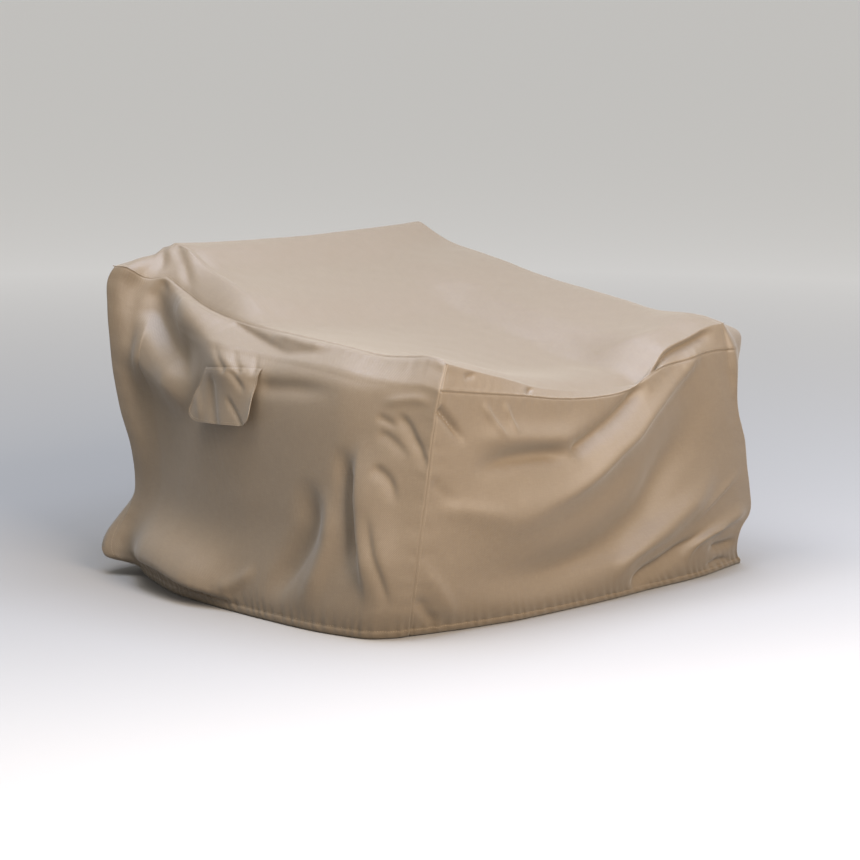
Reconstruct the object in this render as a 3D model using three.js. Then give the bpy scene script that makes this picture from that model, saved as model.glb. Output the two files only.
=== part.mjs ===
// A fitted armchair cover of coated woven polyester, hollow, in the shape in which it
// hangs: a tall back ridge, two arm crests, a hollow seat between them and a slack
// front. Six pieces of cloth: top, front, two sides, back and a vent flap.
// Sizes are in millimetres.
//
// The tables below give places from the floor under the middle of the hem:
// X to the cover's right, Y to its back, Z up. The whole is then moved so that
// the origin is under the cloth at the middle of the ridge, where the cover bears.
import * as THREE from 'three';

const clothThickness = 2;
const seamGap = 0.9;
const clothColour = 0xb7a895;

// Steps of cloth between the seams: across, from back to front, down the walls.
const stripSteps = 2;
const acrossSteps = 28;
const backStripSteps = 3;
const seatSteps = 24;
const bandSteps = 2;
const wallSteps = 16;
const rowCount = backStripSteps + seatSteps;
const columnCount = acrossSteps + 2 * stripSteps;
const loopCount = 2 * (rowCount + columnCount);

// Share of a wall's height that the turned-down front of the top panel takes.
const bandShare = 0.1;
// Share of the front's width between a side seam and the crest beside it.
const stripShare = 0.016;
// Share of the back seam beyond each end of the ridge, and of a side seam behind the ridge.
const backShare = 0.14;
const ridgeShare = 0.12;
// Nominal flat sizes that place the folds on the walls and on the top.
const wallHeight = 620;
const sideLength = 1000;
const frontLength = 1080;

// How finely a seam's line and a fold's path are walked.
const lineDivisions = 400;
const foldDivisions = 32;

const point = (x, y, z) => new THREE.Vector3(x, y, z);

// A smooth line through a few points, walked by its length from 0 to 1.
function line(...rows) {
  const curve = new THREE.CatmullRomCurve3(rows.map((row) => point(...row)), false, 'centripetal');
  curve.arcLengthDivisions = lineDivisions;
  return (t) => curve.getPointAt(THREE.MathUtils.clamp(t, 0, 1));
}

const straight = (a, b) => (t) => a.clone().lerp(b, t);
const stretch = (whole, from, to) => (t) => whole(from + (to - from) * t);

// A sheet stretched between four lines that meet at its corners.
function sheet(top, bottom, left, right) {
  return (u, v) => {
    const across = top(u).lerp(bottom(u), v);
    const down = left(v).lerp(right(v), u);
    const corners = top(0).lerp(top(1), u).lerp(bottom(0).lerp(bottom(1), u), v);
    return across.add(down).sub(corners);
  };
}

// Named corners of the cover.
const backLeftCorner = [-545, 510, 735];
const backRightCorner = [572, 500, 698];
const frontLeftCorner = [-438, -504, 601];
const frontRightCorner = [474, -504, 604];
const ridgeLeft = [-388, 474, 781];
const ridgeRight = [418, 471, 780];
const leftSeamAtRidge = [-452, 423, 710];
const rightSeamAtRidge = [478, 430, 702];
const bandLeft = [-468, -516, 546];
const bandRight = [485, -515, 538];
const hemBackLeft = [-520, 430, 0];
const hemBackRight = [585, 480, 0];
const hemFrontLeft = [-481, -428, 0];
const hemFrontRight = [608, -458, 0];

// Seams and crests of the top, each row a point [x, y, z].
const backSeam = line(
  backLeftCorner,
  [-400, 528, 728],
  [-100, 532, 722],
  [200, 530, 716],
  [430, 522, 710],
  backRightCorner,
);
const ridge = line(
  ridgeLeft,
  [-188, 470, 776],
  [15, 468, 774],
  [215, 470, 777],
  ridgeRight,
);
const frontCrest = line(
  frontLeftCorner,
  [-365, -500, 579],
  [-273, -500, 552],
  [-147, -498, 516],
  [-34, -496, 496],
  [48, -494, 489],
  [116, -496, 489],
  [180, -500, 492],
  [224, -502, 527],
  [262, -502, 558],
  [352, -501, 583],
  [412, -501, 599],
  frontRightCorner,
);
const frontSeam = line(
  bandLeft,
  [-350, -516, 527],
  [-226, -518, 509],
  [-105, -520, 489],
  [9, -522, 480],
  [116, -522, 482],
  [183, -520, 506],
  [238, -516, 522],
  [304, -512, 528],
  [396, -520, 541],
  [440, -520, 542],
  bandRight,
);
const leftSeamBack = line(
  backLeftCorner,
  [-530, 480, 734],
  [-482, 462, 706],
  leftSeamAtRidge,
);
const leftSeamArm = line(
  leftSeamAtRidge,
  [-451, 355, 679],
  [-460, 283, 657],
  [-466, 207, 642],
  [-466, 108, 629],
  [-462, 4, 622],
  [-455, -200, 610],
  [-448, -311, 600],
  [-443, -400, 605],
  [-440, -459, 611],
  frontLeftCorner,
);
const leftCrest = line(
  ridgeLeft,
  [-395, 419, 775],
  [-400, 351, 734],
  [-410, 256, 708],
  [-415, 169, 679],
  [-420, 121, 650],
  [-426, 70, 626],
  [-427, -92, 612],
  [-427, -301, 600],
  [-427, -457, 612],
  frontCrest(stripShare).toArray(),
);
const rightCrest = line(
  ridgeRight,
  [440, 381, 734],
  [440, 201, 702],
  [440, 28, 669],
  [440, -139, 646],
  [442, -269, 624],
  [446, -320, 619],
  [454, -427, 620],
  frontCrest(1 - stripShare).toArray(),
);
const rightSeamBack = line(
  backRightCorner,
  [540, 470, 704],
  rightSeamAtRidge,
);
const rightSeamArm = line(
  rightSeamAtRidge,
  [470, 300, 684],
  [470, 28, 655],
  [471, -139, 636],
  [473, -320, 611],
  [477, -427, 613],
  frontRightCorner,
);

// Vertical seams, from the top down to the hem.
const backLeftUpright = line(
  backLeftCorner,
  [-556, 524, 705],
  [-556, 526, 650],
  [-545, 522, 500],
  [-535, 506, 390],
  [-523, 486, 310],
  [-508, 488, 205],
  [-530, 488, 66],
  hemBackLeft,
);
const frontLeftUpright = line(
  bandLeft,
  [-474, -512, 505],
  [-494, -498, 322],
  [-508, -482, 158],
  [-503, -460, 55],
  hemFrontLeft,
);
const frontRightUpright = line(
  bandRight,
  [513, -513, 430],
  [534, -510, 366],
  [560, -505, 312],
  [572, -505, 240],
  [596, -500, 150],
  [594, -498, 128],
  [562, -496, 93],
  [570, -480, 40],
  hemFrontRight,
);
const backRightUpright = line(
  backRightCorner,
  [575, 515, 400],
  [580, 505, 200],
  hemBackRight,
);

// The hem, on the floor.
const hemLeft = line(
  hemBackLeft,
  [-549, 363, 0],
  [-587, 242, 0],
  [-598, 156, 0],
  [-605, -80, 0],
  [-596, -254, 0],
  [-579, -333, 0],
  [-558, -390, 0],
  [-513, -421, 0],
  hemFrontLeft,
);
const hemFront = line(
  hemFrontLeft,
  [-370, -460, 0],
  [-239, -485, 0],
  [-91, -498, 0],
  [249, -497, 0],
  [437, -489, 0],
  [516, -475, 0],
  hemFrontRight,
);
const hemRight = line(
  hemFrontRight,
  [598, -200, 0],
  [600, 100, 0],
  [596, 350, 0],
  hemBackRight,
);
const hemBack = line(
  hemBackRight,
  [300, 503, 0],
  [0, 505, 0],
  [-300, 512, 0],
  [-450, 500, 0],
  hemBackLeft,
);

// A vertical seam at the front: a short dart down to the front seam, then the wall.
function withDart(corner, band, upright) {
  const dart = straight(point(...corner), point(...band));
  return (v) => (v < bandShare ? dart(v / bandShare) : upright((v - bandShare) / (1 - bandShare)));
}
const leftDartAndUpright = withDart(frontLeftCorner, bandLeft, frontLeftUpright);
const rightDartAndUpright = withDart(frontRightCorner, bandRight, frontRightUpright);

// Even steps along the rows of the top, the columns of the top and down the walls.
function steps(...parts) {
  const marks = [0];
  for (const [count, end] of parts) {
    const start = marks[marks.length - 1];
    for (let i = 1; i <= count; i += 1) marks.push(start + ((end - start) * i) / count);
  }
  return marks;
}
const downMarks = steps([bandSteps, bandShare], [wallSteps, 1]);
const frontMarks = steps([stripSteps, stripShare], [acrossSteps, 1 - stripShare], [stripSteps, 1]);
const backMarks = steps([stripSteps, backShare], [acrossSteps, 1 - backShare], [stripSteps, 1]);
const sideMarks = steps([backStripSteps, ridgeShare], [seatSteps, 1]);

// The lines that bound the blocks of the top: three columns by two rows.
const backLeftPoint = backSeam(backShare);
const backRightPoint = backSeam(1 - backShare);
const topRows = [
  [
    stretch(backSeam, 0, backShare),
    stretch(backSeam, backShare, 1 - backShare),
    stretch(backSeam, 1 - backShare, 1),
  ],
  [
    straight(point(...leftSeamAtRidge), point(...ridgeLeft)),
    ridge,
    straight(point(...ridgeRight), point(...rightSeamAtRidge)),
  ],
  [
    stretch(frontCrest, 0, stripShare),
    stretch(frontCrest, stripShare, 1 - stripShare),
    stretch(frontCrest, 1 - stripShare, 1),
  ],
];
const topColumns = [
  [leftSeamBack, leftSeamArm],
  [straight(backLeftPoint, point(...ridgeLeft)), leftCrest],
  [straight(backRightPoint, point(...ridgeRight)), rightCrest],
  [rightSeamBack, rightSeamArm],
];
const topBlocks = topRows.slice(0, 2).map((row, r) => row.map((top, c) => (
  sheet(top, topRows[r + 1][c], topColumns[c][r], topColumns[c + 1][r])
)));

// A point of the top at a row and column of the cloth's steps.
function topPoint(row, column) {
  const r = row <= backStripSteps ? 0 : 1;
  const v = r === 0 ? row / backStripSteps : (row - backStripSteps) / seatSteps;
  if (column <= stripSteps) return topBlocks[r][0](column / stripSteps, v);
  if (column >= columnCount - stripSteps) {
    return topBlocks[r][2]((column - columnCount + stripSteps) / stripSteps, v);
  }
  return topBlocks[r][1]((column - stripSteps) / acrossSteps, v);
}

const leftSeam = (u) => (
  u < ridgeShare ? leftSeamBack(u / ridgeShare) : leftSeamArm((u - ridgeShare) / (1 - ridgeShare))
);
const rightSeam = (u) => (
  u < ridgeShare ? rightSeamBack(u / ridgeShare) : rightSeamArm((u - ridgeShare) / (1 - ridgeShare))
);
const reversed = (whole) => (t) => whole(1 - t);

const leftWall = sheet(leftSeam, hemLeft, backLeftUpright, leftDartAndUpright);
const rightWall = sheet(reversed(rightSeam), hemRight, rightDartAndUpright, backRightUpright);
const backWall = sheet(reversed(backSeam), hemBack, backRightUpright, backLeftUpright);
const frontWall = sheet(
  frontSeam,
  hemFront,
  frontLeftUpright,
  frontRightUpright,
);
const frontBand = sheet(
  frontCrest,
  frontSeam,
  straight(point(...frontLeftCorner), point(...bandLeft)),
  straight(point(...frontRightCorner), point(...bandRight)),
);
const frontPoint = (u, v) => (
  v < bandShare ? frontBand(u, v / bandShare) : frontWall(u, (v - bandShare) / (1 - bandShare))
);

// The four walls as one loop of columns, seen from outside from left to right.
const walls = [
  { surface: leftWall, marks: sideMarks, length: sideLength },
  { surface: frontPoint, marks: frontMarks, length: frontLength },
  { surface: rightWall, marks: sideMarks.map((m) => 1 - m).reverse(), length: sideLength },
  { surface: backWall, marks: backMarks, length: frontLength },
];

// Every point of the skin, numbered, with its place in the flat cloth.
const skin = [];
function addPoint(position, place) {
  skin.push({ position, ...place });
  return skin.length - 1;
}

const wallIds = [];
let wallStart = 0;
for (const wall of walls) {
  for (const u of wall.marks.slice(0, -1)) {
    wallIds.push(downMarks.map((v) => addPoint(
      wall.surface(u, v),
      { across: wallStart + u * wall.length, down: v * wallHeight },
    )));
  }
  wallStart += wall.length;
}
wallIds.push(wallIds[0]);

function topId(row, column) {
  if (column === 0) return wallIds[row][0];
  if (row === rowCount) return wallIds[rowCount + column][0];
  if (column === columnCount) return wallIds[2 * rowCount + columnCount - row][0];
  if (row === 0) return wallIds[loopCount - column][0];
  return addPoint(topPoint(row, column), {});
}
const topIds = steps([rowCount, rowCount]).map((row) => (
  steps([columnCount, columnCount]).map((column) => topId(row, column))
));

// The panels, each as rows of numbered points seen from outside.
const wallPanel = (firstColumn, lastColumn, firstRow) => (
  downMarks.slice(firstRow).map((_, r) => (
    wallIds.slice(firstColumn, lastColumn + 1).map((column) => column[firstRow + r])
  ))
);
const frontStart = rowCount;
const rightStart = rowCount + columnCount;
const backStart = 2 * rowCount + columnCount;
const band = wallPanel(frontStart, rightStart, 0).slice(1, bandSteps + 1);
const panels = {
  top_panel: [...topIds, ...band],
  front_panel: wallPanel(frontStart, rightStart, bandSteps),
  left_side_panel: wallPanel(0, frontStart, 0),
  right_side_panel: wallPanel(rightStart, backStart, 0),
  back_panel: wallPanel(backStart, loopCount, 0),
};

// The folds of the walls. Their path runs over the flat cloth: millimetres around the
// cover from the back left seam, then down from the top edge. Height is outwards,
// a hollow is negative. Spread is the softness to the left and right of the path,
// fade the share of the path over which the fold rises and dies, push a direction
// for cloth that is thrown sideways.
const evenFade = [0.35, 0.35];
const wallFolds = [
  { name: 'box of the back corner', height: 34, spread: [96, 40], fade: [0.25, 0.35],
    path: [[30, 132], [106, 156], [162, 164], [261, 166], [350, 176]] },
  { name: 'trough beside it', height: -34, spread: [50, 28], fade: [0.15, 0.35],
    path: [[112, 6], [106, 50], [130, 72], [172, 86], [257, 107], [320, 134]] },
  { name: 'outer crest', height: 36, spread: [40, 52], fade: [0.2, 0.35],
    path: [[150, 2], [205, 18], [265, 28], [321, 38], [404, 68], [484, 92], [580, 96]] },
  { name: 'arm shoulder', height: 48, spread: [66, 210], fade: [0.42, 0.27],
    path: [[150, 200], [400, 128], [660, 96], [996, 84]] },
  { name: 'hollow beside the flap', height: -9, spread: [24, 26], fade: [0.2, 0.5],
    path: [[520, 120], [664, 107], [776, 99]] },
  { name: 'left groove', height: -22, spread: [24, 26], fade: [0.3, 0.35],
    path: [[781, 195], [802, 251], [822, 416], [817, 500]] },
  { name: 'ridge beside it', height: 22, spread: [60, 24], fade: [0.4, 0.3],
    path: [[845, 165], [837, 263], [869, 431], [895, 540]] },
  { name: 'second groove', height: -20, spread: [28, 34], fade: [0.3, 0.35],
    path: [[692, 275], [704, 331], [704, 393], [678, 453], [606, 575]] },
  { name: 'ridge between the grooves', height: 14, spread: [28, 28],
    path: [[752, 290], [760, 380], [740, 490], [700, 580]] },
  { name: 'gusset crease', height: -9, spread: [20, 24], fade: [0.15, 0.4],
    path: [[904, 125], [957, 175], [996, 245]] },
  { name: 'tuck over the hem', height: 50, spread: [60, 24],
    path: [[10, 552], [235, 544], [421, 566], [520, 580]] },
  { name: 'pouch under the front seam', height: 16, spread: [30, 28],
    path: [[1090, 160], [1265, 158], [1433, 150], [1540, 100]] },
  { name: 'crease under the pouch', height: -18, spread: [32, 32], fade: [0.1, 0.4],
    path: [[1434, 193], [1326, 199], [1229, 211], [1108, 236]] },
  { name: 'pull from the right arm', height: -16, spread: [38, 38], fade: [0.2, 0.2],
    path: [[1740, 66], [1568, 126], [1476, 168], [1420, 192]] },
  { name: 'great swag', height: 38, spread: [52, 60], fade: [0.22, 0.35],
    path: [[1970, 34], [1803, 119], [1695, 149], [1596, 191], [1414, 291], [1260, 340], [1120, 325],
      [1010, 305]] },
  { name: 'valley under the swag', height: -34, spread: [60, 50],
    path: [[1080, 470], [1304, 490], [1426, 486], [1550, 448], [1782, 292], [1902, 199], [1990, 100]] },
  { name: 'low ridge', height: 22, spread: [42, 42],
    path: [[1960, 330], [1881, 378], [1741, 435], [1669, 459], [1629, 490], [1600, 575]] },
  { name: 'crease under the low ridge', height: -11, spread: [40, 40], fade: [0.25, 0.2],
    path: [[1887, 486], [1764, 536], [1642, 606]] },
  { name: 'slumped corner', height: 14, spread: [26, 24],
    path: [[2078, 448], [1960, 470], [1857, 520]] },
  { name: 'slump crease', height: -12, spread: [32, 30],
    path: [[1925, 530], [2009, 538], [2069, 534]] },
  { name: 'right corner poke', height: 88, spread: [40, 80], fade: [0.12, 0.85],
    path: [[2085, 58], [2150, 62], [2440, 84]] },
  { name: 'right arm shoulder', height: 30, spread: [45, 80],
    path: [[2240, 70], [2560, 84], [2960, 60]] },
  { name: 'right hollow', height: -24, spread: [50, 45],
    path: [[2780, 140], [2900, 80], [2990, 20]] },
  { name: 'right side fold', height: 14, spread: [36, 44],
    path: [[2300, 240], [2330, 400], [2290, 570]] },
  { name: 'right side groove', height: -15, spread: [44, 40],
    path: [[2560, 200], [2610, 380], [2570, 580]] },
  { name: 'right back fold', height: 15, spread: [44, 50],
    path: [[2840, 240], [2870, 420], [2850, 590]] },
  { name: 'back groove', height: -16, spread: [60, 60],
    path: [[3300, 60], [3330, 300], [3290, 590]] },
  { name: 'back fold', height: 15, spread: [70, 70],
    path: [[3640, 90], [3600, 320], [3650, 590]] },
  { name: 'second back groove', height: -15, spread: [50, 55],
    path: [[3900, 60], [3870, 300], [3905, 560]] },
  { name: 'flare at the back corner', height: 84, spread: [60, 28], fade: [0.75, 0.2], push: [-1, 0.1, 0],
    path: [[4118, 425], [4112, 510], [4112, 604]] },
];

// The folds of the top, their paths over the floor: millimetres to the right and back.
const topFolds = [
  { name: 'back left corner', height: 22, spread: [26, 30],
    path: [[-388, 474], [-466, 492], [-545, 510]] },
  { name: 'back right corner', height: 16, spread: [28, 26],
    path: [[572, 500], [495, 486], [418, 471]] },
];

function prepared(fold) {
  const curve = new THREE.CatmullRomCurve3(fold.path.map(([a, b]) => point(a, b, 0)));
  return { fade: evenFade, ...fold, marks: curve.getSpacedPoints(foldDivisions) };
}

// Signed distance from a place to a fold's path, and how far along the path it is.
function nearest(marks, across, down) {
  let best = { gap: Infinity, side: 1, along: 0 };
  for (let i = 0; i < marks.length - 1; i += 1) {
    const [a, b] = [marks[i], marks[i + 1]];
    const [dx, dy] = [b.x - a.x, b.y - a.y];
    const t = THREE.MathUtils.clamp(
      ((across - a.x) * dx + (down - a.y) * dy) / (dx * dx + dy * dy),
      0,
      1,
    );
    const [gapX, gapY] = [across - a.x - t * dx, down - a.y - t * dy];
    const gap = Math.hypot(gapX, gapY);
    if (gap < best.gap) {
      best = { gap, side: gapY * dx - gapX * dy, along: (i + t) / (marks.length - 1) };
    }
  }
  return best;
}

function lift(fold, across, down) {
  const { gap, side, along } = nearest(fold.marks, across, down);
  const spread = side < 0 ? fold.spread[0] : fold.spread[1];
  const rise = THREE.MathUtils.smoothstep(along, 0, fold.fade[0]);
  const fall = THREE.MathUtils.smoothstep(1 - along, 0, fold.fade[1]);
  return fold.height * rise * fall * Math.exp(-((gap / spread) ** 2));
}

function eachFace(rows, visit) {
  for (let r = 0; r < rows.length - 1; r += 1) {
    for (let c = 0; c < rows[r].length - 1; c += 1) {
      visit(rows[r][c], rows[r + 1][c], rows[r + 1][c + 1]);
      visit(rows[r][c], rows[r + 1][c + 1], rows[r][c + 1]);
    }
  }
}

// The outward direction at every point, shared by the panels that meet there.
function outward() {
  const normals = skin.map(() => point(0, 0, 0));
  const edge = point(0, 0, 0);
  for (const rows of Object.values(panels)) {
    eachFace(rows, (a, b, c) => {
      const face = skin[b].position.clone().sub(skin[a].position);
      face.cross(edge.copy(skin[c].position).sub(skin[a].position));
      for (const id of [a, b, c]) normals[id].add(face);
    });
  }
  return normals.map((normal) => normal.normalize());
}

// How many panels meet at each point.
const meeting = skin.map(() => 0);
for (const rows of Object.values(panels)) {
  for (const id of new Set(rows.flat())) meeting[id] += 1;
}

// The folds are raised on the stretched sheets, and die out at the top edge and the hem.
const topEdgeEase = 18;
const hemEase = 40;
const preparedWall = wallFolds.map(prepared);
const preparedTop = topFolds.map(prepared);
const smooth = outward();
skin.forEach((spot, id) => {
  const onWall = spot.down !== undefined;
  const [a, b] = onWall ? [spot.across, spot.down] : [spot.position.x, spot.position.y];
  const edge = onWall
    ? THREE.MathUtils.smoothstep(b, 0, topEdgeEase)
      * THREE.MathUtils.smoothstep(wallHeight - b, 0, hemEase)
    : 1;
  for (const fold of onWall ? preparedWall : preparedTop) {
    const direction = fold.push ? point(...fold.push) : smooth[id];
    spot.position.addScaledVector(direction, edge * lift(fold, a, b));
  }
});

// A closed sheet of cloth from rows of points and their outward directions.
function clothSolid(rows, outer, inner) {
  const positions = [];
  const triangle = (...corners) => corners.forEach((corner) => positions.push(...corner.toArray()));
  const last = rows.length - 1;
  const lastColumn = rows[0].length - 1;
  const outside = rows.map((row, r) => row.map((_, c) => outer(r, c)));
  const inside = rows.map((row, r) => row.map((_, c) => inner(r, c)));
  for (let r = 0; r < last; r += 1) {
    for (let c = 0; c < lastColumn; c += 1) {
      triangle(outside[r][c], outside[r + 1][c], outside[r + 1][c + 1]);
      triangle(outside[r][c], outside[r + 1][c + 1], outside[r][c + 1]);
      triangle(inside[r][c], inside[r + 1][c + 1], inside[r + 1][c]);
      triangle(inside[r][c], inside[r][c + 1], inside[r + 1][c + 1]);
    }
  }
  const rim = [];
  for (let r = 0; r < last; r += 1) rim.push([r, 0]);
  for (let c = 0; c < lastColumn; c += 1) rim.push([last, c]);
  for (let r = last; r > 0; r -= 1) rim.push([r, lastColumn]);
  for (let c = lastColumn; c > 0; c -= 1) rim.push([0, c]);
  // Both sides of a seam split the narrow faces of their rims along the same diagonal.
  rim.forEach(([r, c], i) => {
    const [nextR, nextC] = rim[(i + 1) % rim.length];
    const [outerA, innerA] = [outside[r][c], inside[r][c]];
    const [outerB, innerB] = [outside[nextR][nextC], inside[nextR][nextC]];
    if (rows[r][c] < rows[nextR][nextC]) {
      triangle(outerA, innerA, innerB);
      triangle(outerA, innerB, outerB);
    } else {
      triangle(outerA, innerA, outerB);
      triangle(outerB, innerA, innerB);
    }
  });
  const geometry = new THREE.BufferGeometry();
  geometry.setAttribute('position', new THREE.Float32BufferAttribute(positions, 3));
  geometry.computeVertexNormals();
  return geometry;
}

// The vent flap: a hood of the same cloth, sewn along its top edge and standing off below.
// Its corners lie over the flat cloth of the left side.
const flap = {
  topLeft: [369, 109],
  topRight: [527, 87],
  bottomLeft: [316, 226],
  bottomRight: [528, 208],
  cornerRadius: 0.2,
  stepsAcross: 10,
  stepsDown: 6,
  sewnLift: 2.0,
  openLift: 22,
  rippleHeight: 3,
  rippleCount: 2,
  rippleStart: 1,
};

// A point of the left wall's facets and the outward direction there.
function onLeftWall(across, down) {
  const cell = (marks, value) => (
    marks.findLastIndex((mark, i) => mark <= value && i < marks.length - 1)
  );
  const u = across / sideLength;
  const v = down / wallHeight;
  const [c, r] = [cell(sideMarks, u), cell(downMarks, v)];
  const s = (u - sideMarks[c]) / (sideMarks[c + 1] - sideMarks[c]);
  const t = (v - downMarks[r]) / (downMarks[r + 1] - downMarks[r]);
  const third = t > s ? wallIds[c][r + 1] : wallIds[c + 1][r];
  const ids = [wallIds[c][r], wallIds[c + 1][r + 1], third];
  const shares = [1 - Math.max(s, t), Math.min(s, t), Math.abs(s - t)];
  const blend = (value) => {
    const sum = point(0, 0, 0);
    ids.forEach((id, i) => sum.addScaledVector(value(id), shares[i]));
    return sum;
  };
  return {
    position: blend((id) => skin[id].position),
    normal: blend((id) => normals[id]).normalize(),
  };
}

// How far the flap stands off the wall: sewn along the top, open and rippled below.
function flapLift(s, t) {
  const { sewnLift, openLift, rippleHeight, rippleCount, rippleStart } = flap;
  const ripple = rippleHeight * Math.sin(s * 2 * Math.PI * rippleCount + rippleStart) * t;
  return sewnLift + (openLift - sewnLift) * Math.sqrt(t) + ripple;
}

function flapSolid() {
  const flat = (a, b, t) => a.map((value, i) => value + (b[i] - value) * t);
  const rows = steps([flap.stepsDown, 1]).map((t) => steps([flap.stepsAcross, 1]).map((s) => {
    const fromSide = Math.min(s, 1 - s) / flap.cornerRadius;
    const rounding = fromSide < 1 ? 1 - Math.sqrt(1 - (1 - fromSide) ** 2) : 0;
    const reach = t * (1 - rounding * flap.cornerRadius);
    const left = flat(flap.topLeft, flap.bottomLeft, reach);
    const right = flat(flap.topRight, flap.bottomRight, reach);
    const { position, normal } = onLeftWall(...flat(left, right, s));
    return { under: position.addScaledVector(normal, flapLift(s, t)), normal };
  }));
  const numbers = rows.map((row, r) => row.map((_, c) => r * row.length + c));
  const inner = (r, c) => rows[r][c].under;
  const outer = (r, c) => inner(r, c).clone().addScaledVector(rows[r][c].normal, clothThickness);
  return clothSolid(numbers, outer, inner);
}

const cover = new THREE.Group();
const material = () => new THREE.MeshStandardMaterial({
  color: clothColour,
  roughness: 0.75,
  metalness: 0,
});

const normals = outward();
for (const [name, rows] of Object.entries(panels)) {
  const last = rows.length - 1;
  const lastColumn = rows[0].length - 1;
  // A point on a seam is drawn back a little into its own panel.
  const towards = (id, target) => (
    skin[target].position.clone().sub(skin[id].position).setLength(id === target ? 0 : seamGap / 2)
  );
  const drawnBack = (r, c) => {
    const id = rows[r][c];
    if (meeting[id] < 2) return point(0, 0, 0);
    const inRow = rows[THREE.MathUtils.clamp(r, 1, last - 1)][c];
    const inColumn = rows[r][THREE.MathUtils.clamp(c, 1, lastColumn - 1)];
    return towards(id, inRow).add(towards(id, inColumn));
  };
  const outer = (r, c) => skin[rows[r][c]].position.clone().add(drawnBack(r, c));
  const inner = (r, c) => outer(r, c).addScaledVector(normals[rows[r][c]], -clothThickness);
  const mesh = new THREE.Mesh(clothSolid(rows, outer, inner), material());
  mesh.name = name;
  cover.add(mesh);
}

const flapMesh = new THREE.Mesh(flapSolid(), material());
flapMesh.name = 'vent_flap';
cover.add(flapMesh);

// The origin: under the cloth, at the middle of the ridge, where the cover bears.
const bearing = topIds[backStripSteps][columnCount / 2];
cover.position.copy(skin[bearing].position).addScaledVector(normals[bearing], -clothThickness).negate();

export default cover;
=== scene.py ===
"""An armchair cover of coated woven polyester, as it hangs: five panels, a hem all round and a vent flap.

Sizes are in millimetres, in the makers' frame: from the floor under the middle of the hem, X to the cover's
right, Y to its back, Z up. hung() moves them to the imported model's frame, in metres.
"""

import math

import bpy
import numpy as np
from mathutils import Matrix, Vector


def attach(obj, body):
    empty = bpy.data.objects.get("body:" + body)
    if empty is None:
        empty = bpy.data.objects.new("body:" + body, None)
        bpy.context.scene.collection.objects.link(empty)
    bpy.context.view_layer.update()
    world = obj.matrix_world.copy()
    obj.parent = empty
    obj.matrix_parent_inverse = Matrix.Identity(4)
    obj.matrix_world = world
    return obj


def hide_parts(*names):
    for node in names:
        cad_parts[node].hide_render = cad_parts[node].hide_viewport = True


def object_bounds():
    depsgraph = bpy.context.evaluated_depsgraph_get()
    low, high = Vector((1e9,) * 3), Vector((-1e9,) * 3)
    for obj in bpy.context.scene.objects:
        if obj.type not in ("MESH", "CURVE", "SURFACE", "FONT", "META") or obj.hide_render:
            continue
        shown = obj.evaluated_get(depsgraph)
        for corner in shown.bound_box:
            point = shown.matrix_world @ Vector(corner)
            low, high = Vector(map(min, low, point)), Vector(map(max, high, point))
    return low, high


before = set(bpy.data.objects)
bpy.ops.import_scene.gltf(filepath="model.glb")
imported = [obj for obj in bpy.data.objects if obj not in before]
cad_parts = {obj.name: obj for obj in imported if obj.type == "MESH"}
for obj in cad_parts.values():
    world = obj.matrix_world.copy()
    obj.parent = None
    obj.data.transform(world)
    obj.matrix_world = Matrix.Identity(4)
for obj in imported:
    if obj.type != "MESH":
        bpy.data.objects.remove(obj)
cad_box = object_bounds()

# The studio: a matt floor, dark enough near the cover to throw little light back at it and pale farther out,
# with a cool bank of light overhead, a warm one at the front, a little to the left, and a faint neutral one
# high at the left. The camera stands off the front left corner, about 1.5 m above the floor.
MM = 0.001
ORIGIN_MM = np.array([14.958, 467.933, 772.001])
CAMERA_AZIMUTH = -44.1
CAMERA_ELEVATION = 9.88
CAMERA_DISTANCE_M = 6.65
CAMERA_AIM_MM = np.array([0.0, 0.0, 342.0])
LENS_MM = 117.2
SENSOR_MM = 36.0
FLOOR_SIDE_M = 400.0
FLOOR_NEAR_HEX = "#85827e"
FLOOR_FAR_HEX = "#e9e8e6"
FLOOR_NEAR_M = 1.0
FLOOR_FAR_M = 6.0
FLOOR_ROUGHNESS = 0.9
FLOOR_SPECULAR = 0.1
WORLD_HEX = "#f7f6f4"
WORLD_STRENGTH = 0.7
LIGHTS = [
    dict(name="overhead_bank", azimuth=-10, elevation=80, distance=2.4, width=2.4, watts=156, hex="#c8dcfe"),
    dict(name="front_bank", azimuth=-18, elevation=26, distance=4.0, width=1.6, watts=240, hex="#ffeedc"),
    dict(name="left_bank", azimuth=-85, elevation=62, distance=3.5, width=1.6, watts=80, hex="#ece8e4"),
]


def hung(points_mm):
    """Points in the makers' frame, in millimetres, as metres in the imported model's frame."""
    return (np.asarray(points_mm, float) - ORIGIN_MM) * MM


def linear(hex_colour):
    """A colour written as an sRGB hex value, as the linear one that a shader takes."""
    parts = [int(hex_colour[i : i + 2], 16) / 255 for i in (1, 3, 5)]
    return [c / 12.92 if c <= 0.04045 else ((c + 0.055) / 1.055) ** 2.4 for c in parts] + [1.0]


def place_round(obj, azimuth, elevation, distance, aim):
    """Puts a camera or a light on a sphere round a point, looking at that point."""
    a, e = math.radians(azimuth), math.radians(elevation)
    back = Vector((math.sin(a) * math.cos(e), -math.cos(a) * math.cos(e), math.sin(e)))
    obj.location = Vector(aim) + back * distance
    obj.rotation_euler = back.to_track_quat("Z", "Y").to_euler()


scene = bpy.context.scene
aim = hung(CAMERA_AIM_MM)
camera = bpy.data.objects.new("camera", bpy.data.cameras.new("camera"))
scene.collection.objects.link(camera)
camera.data.lens = LENS_MM
camera.data.sensor_width = SENSOR_MM
place_round(camera, CAMERA_AZIMUTH, CAMERA_ELEVATION, CAMERA_DISTANCE_M, aim)
scene.camera = camera

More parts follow.
